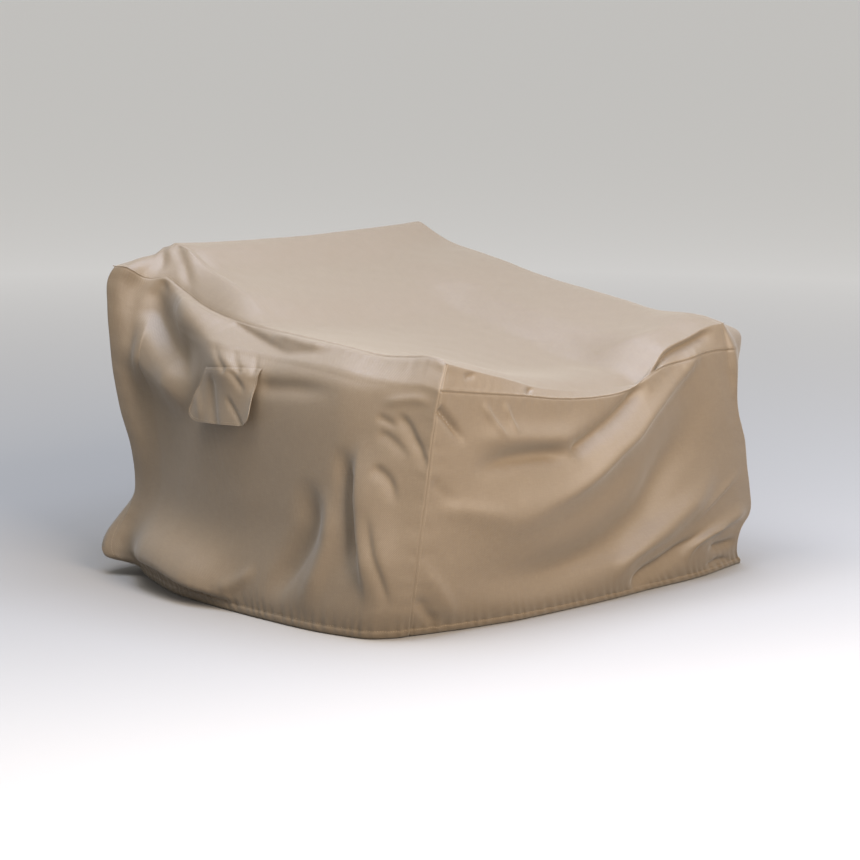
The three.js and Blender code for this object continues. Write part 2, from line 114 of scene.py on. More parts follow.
for row in LIGHTS:
    light = bpy.data.objects.new(row["name"], bpy.data.lights.new(row["name"], "AREA"))
    light.data.size = row["width"]
    light.data.energy = row["watts"]
    light.data.color = linear(row["hex"])[:3]
    scene.collection.objects.link(light)
    place_round(light, row["azimuth"], row["elevation"], row["distance"], aim)

world = bpy.data.worlds.new("studio")
world.use_nodes = True
world.node_tree.nodes["Background"].inputs["Color"].default_value = linear(WORLD_HEX)
world.node_tree.nodes["Background"].inputs["Strength"].default_value = WORLD_STRENGTH
scene.world = world
scene.view_settings.view_transform = "Standard"


def add_node(tree, kind, settings=None, links=None):
    """One shader node: its own settings, and by socket name or number a value or the socket that feeds it."""
    node = tree.nodes.new(kind)
    for name, value in (settings or {}).items():
        setattr(node, name, value)
    for name, value in (links or {}).items():
        socket = node.inputs[name]
        if isinstance(value, bpy.types.NodeSocket):
            tree.links.new(value, socket)
        else:
            socket.default_value = value
    return node


def new_material(name):
    """An empty node material and its Principled shader."""
    material = bpy.data.materials.new(name)
    material.use_nodes = True
    return material, material.node_tree.nodes["Principled BSDF"]


floor_mesh = bpy.data.meshes.new("floor")
half = FLOOR_SIDE_M / 2
floor_z = cad_box[0].z
floor_mesh.from_pydata(
    [(-half, -half, floor_z), (half, -half, floor_z), (half, half, floor_z), (-half, half, floor_z)],
    [],
    [(0, 1, 2, 3)],
)
floor = bpy.data.objects.new("floor", floor_mesh)
scene.collection.objects.link(floor)
floor_material, floor_shader = new_material("pale_matt_floor")
floor_tree = floor_material.node_tree
floor_place = add_node(floor_tree, "ShaderNodeTexCoord").outputs["Object"]
floor_reach = add_node(floor_tree, "ShaderNodeVectorMath", {"operation": "LENGTH"}, {"Vector": floor_place})
floor_share = add_node(
    floor_tree, "ShaderNodeMapRange", None,
    {"Value": floor_reach.outputs["Value"], "From Min": FLOOR_NEAR_M, "From Max": FLOOR_FAR_M},
)
floor_tones = add_node(floor_tree, "ShaderNodeValToRGB", None, {"Fac": floor_share.outputs["Result"]})
floor_tones.color_ramp.elements[0].color = linear(FLOOR_NEAR_HEX)
floor_tones.color_ramp.elements[1].color = linear(FLOOR_FAR_HEX)
floor_tree.links.new(floor_tones.outputs["Color"], floor_shader.inputs["Base Color"])
floor_shader.inputs["Roughness"].default_value = FLOOR_ROUGHNESS
floor_shader.inputs["Specular IOR Level"].default_value = FLOOR_SPECULAR
floor_mesh.materials.append(floor_material)


# The four wall panels: front, left side, right side and back, straight lengths of coated woven polyester.
# They are sewn to each other down the corners and to the top along its edge, and end in one gathered hem.
# They hang from the crests of the top, tight at the arms and slack at the front, and turn under at the hem.
def run_of(points):
    """How far along a line of points each of them lies."""
    return np.concatenate([[0], np.cumsum(np.linalg.norm(np.diff(points, axis=0), axis=1))])


def at_run(places, run, values):
    """The values at places along a line, from those at its points."""
    return np.stack([np.interp(places, run, values[:, k]) for k in range(3)], axis=-1)


def line(*rows):
    """A smooth line through a few points, walked by its length from 0 to 1."""
    points = np.array(rows, float)
    ends = [2 * points[0] - points[1], *points, 2 * points[-1] - points[-2]]
    dense = []
    for before, start, end, after in zip(ends, ends[1:], ends[2:], ends[3:]):
        steps = [math.sqrt(np.linalg.norm(b - a)) for a, b in ((before, start), (start, end), (end, after))]
        t1 = (start - before) / steps[0] - (end - before) / (steps[0] + steps[1]) + (end - start) / steps[1]
        t2 = (end - start) / steps[1] - (after - start) / (steps[1] + steps[2]) + (after - end) / steps[2]
        t = np.linspace(0, 1, LINE_DIVISIONS, endpoint=False)[:, None]
        t1, t2 = t1 * steps[1], t2 * steps[1]
        squared, cubed = 3 * (end - start) - 2 * t1 - t2, 2 * (start - end) + t1 + t2
        dense.append(start + t1 * t + squared * t**2 + cubed * t**3)
    dense = np.concatenate(dense + [points[-1:]])
    along = run_of(dense)
    along /= along[-1]
    return lambda t: at_run(t, along, dense)


def straight(a, b):
    """The straight line from one point to another."""
    a, b = np.array(a, float), np.array(b, float)
    return lambda t: a + (b - a) * np.asarray(t, float)[..., None]


def stretch(whole, start, end):
    """A part of a line, as a line."""
    return lambda t: whole(start + (end - start) * np.asarray(t, float))


def joined(first, second, share):
    """Two lines end to end, the first one taking that share."""

    def walk(t):
        t = np.asarray(t, float)
        on_first = first(np.clip(t / share, 0, 1))
        on_second = second(np.clip((t - share) / (1 - share), 0, 1))
        return np.where((t < share)[..., None], on_first, on_second)

    return walk


def sheet(top, bottom, left, right):
    """A cloth stretched between four lines that meet at its corners."""

    def at(u, v):
        u, v = np.asarray(u, float), np.asarray(v, float)
        uu, vv = u[..., None], v[..., None]
        across = top(u) * (1 - vv) + bottom(u) * vv
        down = left(v) * (1 - uu) + right(v) * uu
        top_ends = top(0.0) * (1 - uu) + top(1.0) * uu
        bottom_ends = bottom(0.0) * (1 - uu) + bottom(1.0) * uu
        return across + down - (top_ends * (1 - vv) + bottom_ends * vv)

    return at


# Shares of the panels, the flat cloth's measures that the paths of folds are given in, and grid steps.
LINE_DIVISIONS = 40
BAND_SHARE = 0.1
STRIP_SHARE = 0.016
BACK_SHARE = 0.14
RIDGE_SHARE = 0.12
WALL_HEIGHT = 620
SIDE_LENGTH = 1000
FRONT_LENGTH = 1080
STRIP_STEPS = 8
ACROSS_STEPS = 200
BACK_STRIP_STEPS = 24
SEAT_STEPS = 176
SEAM_STEPS = 3
SEAM_SHARE = 0.008
BAND_STEPS = 16
WALL_STEPS = 98
HEM_STEPS = 12
HEM_SHARE = 0.05

BACK_LEFT = [-545, 510, 735]
BACK_RIGHT = [572, 500, 698]
FRONT_LEFT = [-438, -504, 601]
FRONT_RIGHT = [474, -504, 604]
RIDGE_LEFT = [-388, 474, 781]
RIDGE_RIGHT = [418, 471, 780]
LEFT_SEAM_AT_RIDGE = [-452, 423, 710]
RIGHT_SEAM_AT_RIDGE = [478, 430, 702]
BAND_LEFT = [-468, -516, 546]
BAND_RIGHT = [485, -515, 538]
HEM_BACK_LEFT = [-520, 430, 0]
HEM_BACK_RIGHT = [585, 480, 0]
HEM_FRONT_LEFT = [-481, -428, 0]
HEM_FRONT_RIGHT = [608, -458, 0]

back_seam = line(BACK_LEFT, [-400, 528, 728], [-100, 532, 722], [200, 530, 716], [430, 522, 710], BACK_RIGHT)
front_crest = line(
    FRONT_LEFT, [-365, -500, 579], [-273, -500, 552], [-147, -498, 516], [-34, -496, 496], [48, -494, 489],
    [116, -496, 489], [180, -500, 492], [224, -502, 527], [262, -502, 558], [352, -501, 583],
    [412, -501, 599], FRONT_RIGHT,
)
front_seam = line(
    BAND_LEFT, [-350, -516, 527], [-226, -518, 509], [-105, -520, 489], [9, -522, 480], [116, -522, 482],
    [183, -520, 506], [238, -516, 522], [304, -512, 528], [396, -520, 541], [440, -520, 542], BAND_RIGHT,
)
left_seam_back = line(BACK_LEFT, [-530, 480, 734], [-482, 462, 706], LEFT_SEAM_AT_RIDGE)
left_seam_arm = line(
    LEFT_SEAM_AT_RIDGE, [-451, 355, 679], [-460, 283, 657], [-466, 207, 642], [-466, 108, 629],
    [-462, 4, 622], [-455, -200, 610], [-448, -311, 600], [-443, -400, 605], [-440, -459, 611], FRONT_LEFT,
)
right_seam_back = line(BACK_RIGHT, [540, 470, 704], RIGHT_SEAM_AT_RIDGE)
right_seam_arm = line(
    RIGHT_SEAM_AT_RIDGE, [470, 300, 684], [470, 28, 655], [471, -139, 636], [473, -320, 611],
    [477, -427, 613], FRONT_RIGHT,
)
left_seam = joined(left_seam_back, left_seam_arm, RIDGE_SHARE)
right_seam = joined(right_seam_back, right_seam_arm, RIDGE_SHARE)

back_left_upright = line(
    BACK_LEFT, [-556, 524, 705], [-556, 526, 650], [-545, 522, 500], [-535, 506, 390], [-523, 486, 310],
    [-508, 488, 205], [-530, 488, 66], HEM_BACK_LEFT,
)
front_left_upright = line(
    BAND_LEFT, [-474, -512, 505], [-494, -498, 322], [-508, -482, 158], [-503, -460, 55], HEM_FRONT_LEFT,
)
front_right_upright = line(
    BAND_RIGHT, [513, -513, 430], [534, -510, 366], [560, -505, 312], [572, -505, 240], [596, -500, 150],
    [594, -498, 128], [562, -496, 93], [570, -480, 40], HEM_FRONT_RIGHT,
)
back_right_upright = line(BACK_RIGHT, [575, 515, 400], [580, 505, 200], HEM_BACK_RIGHT)

hem_left = line(
    HEM_BACK_LEFT, [-549, 363, 0], [-587, 242, 0], [-598, 156, 0], [-605, -80, 0], [-596, -254, 0],
    [-579, -333, 0], [-558, -390, 0], [-513, -421, 0], HEM_FRONT_LEFT,
)
hem_front = line(
    HEM_FRONT_LEFT, [-370, -460, 0], [-239, -485, 0], [-91, -498, 0], [249, -497, 0], [437, -489, 0],
    [516, -475, 0], HEM_FRONT_RIGHT,
)
hem_right = line(HEM_FRONT_RIGHT, [598, -200, 0], [600, 100, 0], [596, 350, 0], HEM_BACK_RIGHT)
hem_back = line(HEM_BACK_RIGHT, [300, 503, 0], [0, 505, 0], [-300, 512, 0], [-450, 500, 0], HEM_BACK_LEFT)

band_left_edge = straight(FRONT_LEFT, BAND_LEFT)
band_right_edge = straight(FRONT_RIGHT, BAND_RIGHT)
left_corner = joined(band_left_edge, front_left_upright, BAND_SHARE)
right_corner = joined(band_right_edge, front_right_upright, BAND_SHARE)
left_wall = sheet(left_seam, hem_left, back_left_upright, left_corner)
right_wall = sheet(stretch(right_seam, 1, 0), hem_right, right_corner, back_right_upright)
back_wall = sheet(stretch(back_seam, 1, 0), hem_back, back_right_upright, back_left_upright)
front_band = sheet(front_crest, front_seam, band_left_edge, band_right_edge)
front_below = sheet(front_seam, hem_front, front_left_upright, front_right_upright)


def front_wall(u, v):
    """The front: the turned-down edge of the top as far as the front seam, and the front panel below it."""
    on_band = (v < BAND_SHARE)[..., None]
    below = front_below(u, np.clip((v - BAND_SHARE) / (1 - BAND_SHARE), 0, 1))
    return np.where(on_band, front_band(u, np.clip(v / BAND_SHARE, 0, 1)), below)


def marks(*parts):
    """Even steps from 0 on: each part is a count and the value that it ends at."""
    values = [0.0]
    for count, end in parts:
        values += list(np.linspace(values[-1], end, count + 1)[1:])
    return np.array(values)


down_marks = marks(
    (SEAM_STEPS, SEAM_SHARE),
    (BAND_STEPS - 2 * SEAM_STEPS, BAND_SHARE - SEAM_SHARE),
    (SEAM_STEPS, BAND_SHARE),
    (SEAM_STEPS, BAND_SHARE + SEAM_SHARE),
    (WALL_STEPS, 1 - HEM_SHARE),
    (HEM_STEPS, 1),
)
side_marks = marks(
    (SEAM_STEPS, SEAM_SHARE),
    (BACK_STRIP_STEPS - SEAM_STEPS, RIDGE_SHARE),
    (SEAT_STEPS - SEAM_STEPS, 1 - SEAM_SHARE),
    (SEAM_STEPS, 1),
)
front_marks = marks((STRIP_STEPS, STRIP_SHARE), (ACROSS_STEPS, 1 - STRIP_SHARE), (STRIP_STEPS, 1))
back_marks = marks((STRIP_STEPS, BACK_SHARE), (ACROSS_STEPS, 1 - BACK_SHARE), (STRIP_STEPS, 1))
ROWS = len(side_marks) - 1
COLUMNS = len(front_marks) - 1

# The walls are one loop of columns from the back left seam: left, front, right, back.
walls = [
    (left_wall, side_marks, SIDE_LENGTH),
    (front_wall, front_marks, FRONT_LENGTH),
    (right_wall, 1 - side_marks[::-1], SIDE_LENGTH),
    (back_wall, back_marks, FRONT_LENGTH),
]
blocks, places, start = [], [], 0
for surface, steps, length in walls:
    u, v = np.meshgrid(steps[:-1], down_marks)
    blocks.append(surface(u, v))
    places.append(start + steps[:-1] * length)
    start += length
LOOP_LENGTH = start
wall = np.concatenate(blocks, axis=1)
wall_across, wall_down = np.meshgrid(np.concatenate(places), down_marks * WALL_HEIGHT)
FRONT_START = ROWS
RIGHT_START = ROWS + COLUMNS
BACK_START = 2 * ROWS + COLUMNS

# The top panel: one piece of the same cloth, sewn along the back and both sides, and turned down at the front
# to its seam there. It is tight over the back ridge and the arm crests and sags between them like a saddle.
left_crest = line(
    RIDGE_LEFT, [-395, 419, 775], [-400, 351, 734], [-410, 256, 708], [-415, 169, 679], [-420, 121, 650],
    [-426, 70, 626], [-427, -92, 612], [-427, -301, 600], [-427, -457, 612], front_crest(STRIP_SHARE),
)
right_crest = line(
    RIDGE_RIGHT, [440, 381, 734], [440, 201, 702], [440, 28, 669], [440, -139, 646], [442, -269, 624],
    [446, -320, 619], [454, -427, 620], front_crest(1 - STRIP_SHARE),
)
ridge = line(RIDGE_LEFT, [-188, 470, 776], [15, 468, 774], [215, 470, 777], RIDGE_RIGHT)


def in_three(whole, share):
    """A line as three: a strip at each end, and what lies between them."""
    return [stretch(whole, 0, share), stretch(whole, share, 1 - share), stretch(whole, 1 - share, 1)]


top_rows = [
    in_three(back_seam, BACK_SHARE),
    [straight(LEFT_SEAM_AT_RIDGE, RIDGE_LEFT), ridge, straight(RIDGE_RIGHT, RIGHT_SEAM_AT_RIDGE)],
    in_three(front_crest, STRIP_SHARE),
]
top_columns = [
    [left_seam_back, left_seam_arm],
    [straight(back_seam(BACK_SHARE), RIDGE_LEFT), left_crest],
    [straight(back_seam(1 - BACK_SHARE), RIDGE_RIGHT), right_crest],
    [right_seam_back, right_seam_arm],
]
across_ends = [0, STRIP_STEPS, STRIP_STEPS + ACROSS_STEPS, COLUMNS]
down_ends = [0, BACK_STRIP_STEPS, ROWS]
top = np.zeros((ROWS + 1, COLUMNS + 1, 3))
for r in range(2):
    for c in range(3):
        block = sheet(top_rows[r][c], top_rows[r + 1][c], top_columns[c][r], top_columns[c + 1][r])
        rows = slice(down_ends[r], down_ends[r + 1] + 1)
        columns = slice(across_ends[c], across_ends[c + 1] + 1)
        u, v = [(m - m[0]) / (m[-1] - m[0]) for m in (front_marks[columns], side_marks[rows])]
        top[rows, columns] = block(*np.meshgrid(u, v))


# How the cloth hangs: its creases are rounded, folds rise along paths over the flat cloth, a slow drift runs
# through all of it, and small gathers run out from every seam.
def softened(grid, passes, share=1.0, closed=False):
    """The grid with its creases rounded: each point moves towards the line between its neighbours."""

    def widened(g):
        return np.concatenate([g[:, -1:], g, g[:, :1]], axis=1) if closed else g

    wide = widened(grid)
    down = np.linalg.norm(np.diff(wide, axis=0), axis=2)[:, 1:-1, None]
    across = np.linalg.norm(np.diff(wide, axis=1), axis=2)[1:-1, :, None]
    by_row = down[1:] / (down[1:] + down[:-1])
    by_column = across[:, 1:] / (across[:, 1:] + across[:, :-1])
    for _ in range(passes):
        rows = wide[:-2, 1:-1] * by_row + wide[2:, 1:-1] * (1 - by_row)
        columns = wide[1:-1, :-2] * by_column + wide[1:-1, 2:] * (1 - by_column)
        wide = wide.copy()
        wide[1:-1, 1:-1] += ((rows + columns) / 2 - wide[1:-1, 1:-1]) * SOFTENING * share
        if closed:
            wide = widened(wide[:, 1:-1])
    return wide[:, 1:-1] if closed else wide


def facing(grid, closed=False):
    """The outward direction at every point of a grid."""
    if closed:
        grid = np.concatenate([grid[:, -1:], grid, grid[:, :1]], axis=1)
    normal = np.cross(np.gradient(grid, axis=0), np.gradient(grid, axis=1))
    normal /= np.maximum(np.linalg.norm(normal, axis=2, keepdims=True), LEAST_LENGTH)
    return normal[:, 1:-1] if closed else normal


def smoothstep(value, start, end):
    """A rise from 0 at the start to 1 at the end, level at both."""
    t = np.clip((value - start) / (end - start), 0, 1)
    return t * t * (3 - 2 * t)


def raised(fold, across, down):
    """How far a fold lifts the cloth at each place: a hollow is negative, a sharp fold has a creased line."""
    path = line(*[[a, b, 0] for a, b in fold["path"]])(np.linspace(0, 1, FOLD_DIVISIONS + 1))[:, :2]
    reach = FOLD_REACH * max(fold["spread"])
    low, high = path.min(0) - reach, path.max(0) + reach
    near = (across > low[0]) & (across < high[0]) & (down > low[1]) & (down < high[1])
    lift = np.zeros(across.shape)
    spot = np.stack([across[near], down[near]], axis=1)
    best, side, along = np.full(len(spot), np.inf), np.zeros(len(spot)), np.zeros(len(spot))
    for i, (a, b) in enumerate(zip(path[:-1], path[1:])):
        step = b - a
        t = np.clip((spot - a) @ step / (step @ step), 0, 1)
        off = spot - a - t[:, None] * step
        gap = np.hypot(off[:, 0], off[:, 1])
        closer = gap < best
        best = np.where(closer, gap, best)
        side = np.where(closer, off[:, 1] * step[0] - off[:, 0] * step[1], side)
        along = np.where(closer, (i + t) / FOLD_DIVISIONS, along)
    spread = np.where(side < 0, fold["spread"][0], fold["spread"][1])
    rise, fall = fold.get("fade", EVEN_FADE)
    ends = smoothstep(along, 0, rise) * smoothstep(1 - along, 0, fall)
    lift[near] = fold["height"] * ends * np.exp(-((best / spread) ** (2 - fold.get("sharp", 0))))
    return lift


def walked(grid, axis):
    """How far along each line of a grid its points lie, in millimetres."""
    steps = np.linalg.norm(np.diff(grid, axis=axis), axis=2)
    first = np.zeros_like(grid[:1, :, 0] if axis == 0 else grid[:, :1, 0])
    return np.concatenate([first, np.cumsum(steps, axis=axis)], axis=axis)


def slack(points):
    """Broad unevenness, as loose cloth has: a drift in all directions, one field for all the panels."""
    drift = np.zeros(points.shape)
    for ways, phases, turns, height in slack_fields:
        drift = drift + height * np.sin(points @ ways.T + phases) @ turns
    drift[..., 2] *= smoothstep(points[..., 2], 0, HEM_EASE)
    return drift


def puckered(along, away, wave, reach, start):
    """Small gathers at a seam: uneven ripples along it that die away from it, at most 1 high."""
    slow = np.sin(along / (wave * PUCKER_SLOW) + start)
    quick = np.sin(along / (wave * PUCKER_QUICK) + PUCKER_TURN * start)
    wander = PUCKER_WANDER * np.sin(along / (wave * PUCKER_WANDER_WAVE) + start)
    ripple = np.sin(2 * math.pi * along / wave + wander)
    return (PUCKER_MEAN + PUCKER_BEAT * slow * quick) * ripple * np.exp(-away / reach)


# Rounding: the passes over each grid, and how much of a pass the ridge, the crests and the corners get. The
# least length keeps a direction from being divided by nothing.
LEAST_LENGTH = 1e-9
SOFTENING = 0.5
TOP_PASSES = 70
RIDGE_SOFTNESS = 0.3
ARM_CREST_STEPS = 12
ARM_CREST_FIRST_ROW = 28
ARM_CREST_FULL_ROW = 45
FRONT_CREST_CRISPNESS = 0.93
FRONT_CREST_STEPS = 12
CORNER_CRISPNESS = 0.85
CORNER_STEPS = 20
WALL_PASSES = 10

# Folds and drift: a fold reaches 3.5 times its spread and eases off at the top edge and at the hem. The drift
# is waves of three lengths in all directions, without its upward part near the floor.
FOLD_DIVISIONS = 32
FOLD_REACH = 3.5
EVEN_FADE = (0.35, 0.35)
TOP_EDGE_EASE = 12
HEM_EASE = 40
SLACK_SEED = 11
SLACK_WAVES = 10
SLACK_ROWS = [
    dict(wavelength=260, height=1.0),
    dict(wavelength=110, height=0.4),
    dict(wavelength=50, height=0.15),
]

# Gathers: a slow and a quick beat and a wander, in shares of a gather's wave, make them uneven.
PUCKER_EASE = 14
PUCKER_MEAN = 0.55
PUCKER_BEAT = 0.45
PUCKER_SLOW = 0.59
PUCKER_QUICK = 0.3
PUCKER_TURN = 2.3
PUCKER_WANDER = 1.7
PUCKER_WANDER_WAVE = 0.9
WALL_PUCKER_START = 0.4
HEM_PUCKER_START = 1.1
TOP_PUCKER_START = 2.0
SEAM_WAVE = 34
SEAM_REACH = 28
SEAM_GATHER = 1.2
CORNER_WAVE = 46
CORNER_REACH = 30
CORNER_GATHER = 1.4

# Seams and hem: the groove at the thread, the ridge over the allowances, and the round band of the hem.
SEAM_GROOVE = 2.0
SEAM_GROOVE_WIDTH = 2.6
SEAM_RIDGE = 1.1
SEAM_RIDGE_AT = 6
SEAM_RIDGE_WIDTH = 3.5
HEM_BAND = 22
HEM_BULGE = 3.4
HEM_GATHER = 2.6
HEM_WAVE = 26
HEM_REACH = 24

# The folds of the walls, as paths over the flat cloth: millimetres round the cover from the back left seam,
# then down from the top edge. Height is outwards, and spread is the reach to the path's left and right. Fade
# is the share of the path that it rises over at the start and dies away over at the end. Sharp brings the
# fold nearer to a crease, and push gives it a direction of its own in place of outwards.
WALL_FOLDS = [
    # The left side: the box of the back corner, the trough beside it and the crest that runs down to the arm.
    dict(height=48, spread=(105, 46), fade=(0.3, 0.35), path=[
        (16, 126), (106, 158), (162, 168), (261, 174), (350, 186),
    ]),
    dict(height=-32, spread=(50, 26), fade=(0.22, 0.3), path=[
        (84, 44), (128, 70), (172, 88), (257, 112), (340, 140),
    ]),
    dict(height=-9, spread=(20, 16), fade=(0.2, 0.5), path=[(128, 2), (116, 34), (102, 64)]),
    dict(height=42, spread=(38, 50), sharp=0.2, fade=(0.32, 0.35), path=[
        (140, 2), (205, 18), (265, 26), (321, 37), (404, 66), (484, 90), (580, 98),
    ]),
    dict(height=48, spread=(66, 210), fade=(0.42, 0.27), path=[
        (150, 200), (400, 128), (660, 96), (996, 84),
    ]),
    dict(height=-12, spread=(10, 16), sharp=0.2, fade=(0.2, 0.65), path=[
        (325, -8), (409, 9), (477, 25), (528, 37), (581, 45), (633, 38), (686, 28), (749, 20),
    ]),
    dict(height=8, spread=(12, 10), path=[(500, 5), (555, 12), (626, 18), (711, 14)]),
    dict(height=-9, spread=(16, 18), fade=(0.2, 0.5), path=[(520, 120), (600, 114), (664, 107), (776, 99)]),
    # The left side: pulls above the flap.
    dict(height=-5, spread=(5, 7), sharp=0.2, fade=(0.5, 0.1), path=[(398, 56), (436, 80), (468, 106)]),
    dict(height=-5, spread=(5, 7), sharp=0.2, fade=(0.5, 0.1), path=[(450, 56), (480, 80), (508, 104)]),
    dict(height=-4, spread=(5, 6), sharp=0.2, fade=(0.5, 0.1), path=[(510, 58), (526, 78), (540, 100)]),
    # The left side: long grooves and ridges that fall from the arm's front end.
    dict(height=-22, spread=(20, 22), fade=(0.3, 0.35), path=[
        (781, 195), (802, 251), (814, 333), (822, 416), (817, 500),
    ]),
    dict(height=24, spread=(60, 16), fade=(0.4, 0.3), path=[
        (845, 165), (837, 263), (845, 350), (869, 431), (895, 540),
    ]),
    dict(height=-8, spread=(8, 14), sharp=0.3, path=[(866, 316), (888, 408), (913, 468), (948, 545)]),
    dict(height=-20, spread=(26, 34), fade=(0.3, 0.35), path=[
        (692, 275), (704, 331), (704, 393), (678, 453), (606, 575),
    ]),
    dict(height=14, spread=(26, 26), path=[(752, 290), (760, 380), (740, 490), (700, 580)]),
    dict(height=8, spread=(14, 16), path=[(560, 495), (493, 543), (430, 565)]),
    # The left side: the small gusset folds beside the front corner.
    dict(height=5, spread=(10, 10), path=[(992, 92), (929, 93), (866, 103)]),
    dict(height=-7, spread=(8, 16), sharp=0.2, fade=(0.15, 0.4), path=[
        (904, 125), (930, 140), (957, 175), (983, 209), (996, 245),
    ]),
    dict(height=-5, spread=(7, 9), sharp=0.2, fade=(0.15, 0.5), path=[(867, 131), (891, 140), (915, 155)]),
    dict(height=-5, spread=(8, 14), sharp=0.2, fade=(0.15, 0.5), path=[
        (870, 162), (899, 174), (924, 195), (954, 221),
    ]),
    dict(height=-7, spread=(9, 16), sharp=0.2, fade=(0.15, 0.5), path=[
        (869, 235), (897, 251), (913, 271), (930, 320),
    ]),
    # The left side: the tuck, a full swell that turns under just above the hem.
    dict(height=52, spread=(60, 16), path=[(10, 552), (235, 544), (328, 556), (421, 566), (520, 580)]),
    # The front: the pouch under the seam with its two creases, and the great swag from the right arm.
    dict(height=-15, spread=(10, 12), sharp=0.2, fade=(0.12, 0.5), path=[
        (1000, 97), (1058, 134), (1106, 180),
    ]),
    dict(height=16, spread=(30, 26), path=[(1090, 160), (1265, 158), (1433, 150), (1540, 100)]),
    dict(height=-18, spread=(24, 22), fade=(0.25, 0.4), path=[
        (1450, 192), (1326, 199), (1229, 211), (1108, 236),
    ]),
    dict(height=-20, spread=(18, 20), sharp=0.3, fade=(0.2, 0.15), path=[
        (1740, 72), (1666, 89), (1568, 134), (1476, 175), (1420, 197),
    ]),
    dict(height=25, spread=(50, 70), fade=(0.3, 0.35), path=[
        (1874, 90), (1737, 140), (1596, 191), (1502, 246), (1414, 291), (1260, 338), (1120, 325), (1010, 305),
    ]),
    dict(height=16, spread=(18, 26), sharp=0.2, fade=(0.15, 0.4), path=[
        (1990, 22), (1919, 68), (1803, 119), (1695, 149), (1596, 191), (1502, 246), (1414, 291), (1260, 344),
    ]),
    dict(height=6, spread=(24, 18), path=[(1260, 346), (1187, 330), (1019, 308)]),
    # The front: the shade line under the crest of the right arm.
    dict(height=-13, spread=(9, 18), fade=(0.25, 0.2), path=[
        (1700, 44), (1760, 30), (1850, 20), (1930, 16), (2040, 14),
    ]),
    # The front: the valley under the swag, and the low ridge with its crease down to the hem.
    dict(height=-34, spread=(60, 50), path=[
        (1080, 470), (1304, 490), (1426, 486), (1550, 448), (1676, 380), (1782, 292), (1902, 199),
        (1990, 100),
    ]),
    dict(height=24, spread=(34, 28), path=[
        (1960, 330), (1881, 378), (1819, 404), (1741, 435), (1669, 459), (1629, 490), (1600, 575),
    ]),
    dict(height=-25, spread=(24, 22), sharp=0.2, fade=(0.3, 0.2), path=[
        (1900, 486), (1830, 516), (1764, 540), (1694, 560), (1645, 606),
    ]),
    # The front: the slumped lower right corner, and small wedges beside the seams.
    dict(height=14, spread=(20, 16), sharp=0.3, path=[(2078, 448), (1960, 470), (1857, 520)]),
    dict(height=12, spread=(10, 12), path=[(1975, 468), (1905, 483), (1869, 517), (1851, 558)]),
    dict(height=-14, spread=(10, 10), sharp=0.3, path=[(1925, 530), (2009, 538), (2069, 534)]),
    dict(height=-8, spread=(9, 9), path=[(1913, 588), (1980, 578), (2043, 589)]),
    dict(height=6, spread=(6, 10), sharp=0.4, path=[(2052, 351), (1930, 402), (1815, 447)]),
    dict(height=-5, spread=(14, 14), fade=(0.2, 0.7), path=[(1008, 252), (1068, 297), (1104, 321)]),
    dict(height=7, spread=(16, 24), path=[(998, 418), (1043, 470), (1089, 527), (1120, 590)]),
    dict(height=-8, spread=(16, 14), path=[(1000, 500), (1030, 540), (1070, 600)]),
    dict(height=7, spread=(8, 10), path=[(1136, 72), (1190, 130), (1224, 164)]),
    dict(height=6, spread=(7, 8), path=[(1213, 72), (1246, 130), (1262, 150)]),
    dict(height=-8, spread=(6, 10), sharp=0.3, path=[(1316, 6), (1306, 30), (1300, 58)]),
    dict(height=-6, spread=(6, 8), sharp=0.3, path=[(1066, 24), (1088, 14), (1110, 6)]),
    # The right side.
    dict(height=88, spread=(40, 80), fade=(0.18, 0.85), path=[(2062, 50), (2150, 60), (2440, 84)]),
    dict(height=30, spread=(45, 80), path=[(2240, 70), (2560, 84), (2960, 60)]),
    dict(height=-24, spread=(50, 45), path=[(2780, 140), (2900, 80), (2990, 20)]),
    dict(height=14, spread=(36, 44), path=[(2300, 240), (2330, 400), (2290, 570)]),
    dict(height=-18, spread=(24, 40), sharp=0.2, path=[(2560, 200), (2610, 380), (2570, 580)]),
    dict(height=15, spread=(44, 50), path=[(2840, 240), (2870, 420), (2850, 590)]),
    # The back.
    dict(height=-16, spread=(60, 60), path=[(3300, 60), (3330, 300), (3290, 590)]),
    dict(height=15, spread=(70, 70), path=[(3640, 90), (3600, 320), (3650, 590)]),
    dict(height=-15, spread=(50, 55), path=[(3900, 60), (3870, 300), (3905, 560)]),
    dict(height=84, spread=(60, 24), fade=(0.75, 0.2), push=(-1, 0.1, 0), path=[
        (4118, 425), (4112, 510), (4112, 604),
    ]),
]

# The folds of the top, as paths over the floor, in millimetres to the right and to the back: two hips beside
# the ridge, the dent and creases at its left end, low waves in the hollow and a crease at the front left.
TOP_FOLDS = [
    dict(height=17, spread=(26, 34), fade=(0.1, 0.6), path=[(-388, 474), (-466, 492), (-545, 510)]),
    dict(height=16, spread=(28, 26), path=[(572, 500), (495, 486), (418, 471)]),
    dict(height=-7, spread=(8, 14), fade=(0.15, 0.4), path=[(-398, 480), (-425, 462), (-452, 440)]),
    dict(height=-7, spread=(9, 14), sharp=0.2, fade=(0.1, 0.5), path=[
        (-390, 464), (-418, 400), (-452, 318),
    ]),
    dict(height=-5, spread=(10, 16), sharp=0.3, fade=(0.1, 0.5), path=[
        (-380, 455), (-374, 330), (-396, 130),
    ]),
    dict(height=-3, spread=(16, 26), path=[(140, -81), (196, -233), (211, -350)]),
    dict(height=3, spread=(20, 30), path=[(440, -440), (259, -420), (146, -284)]),
    dict(height=-2, spread=(22, 26), path=[(72, 394), (-20, 270), (-108, 161)]),
    dict(height=-5, spread=(8, 14), sharp=0.3, path=[(-373, -484), (-384, -420), (-400, -360)]),
]

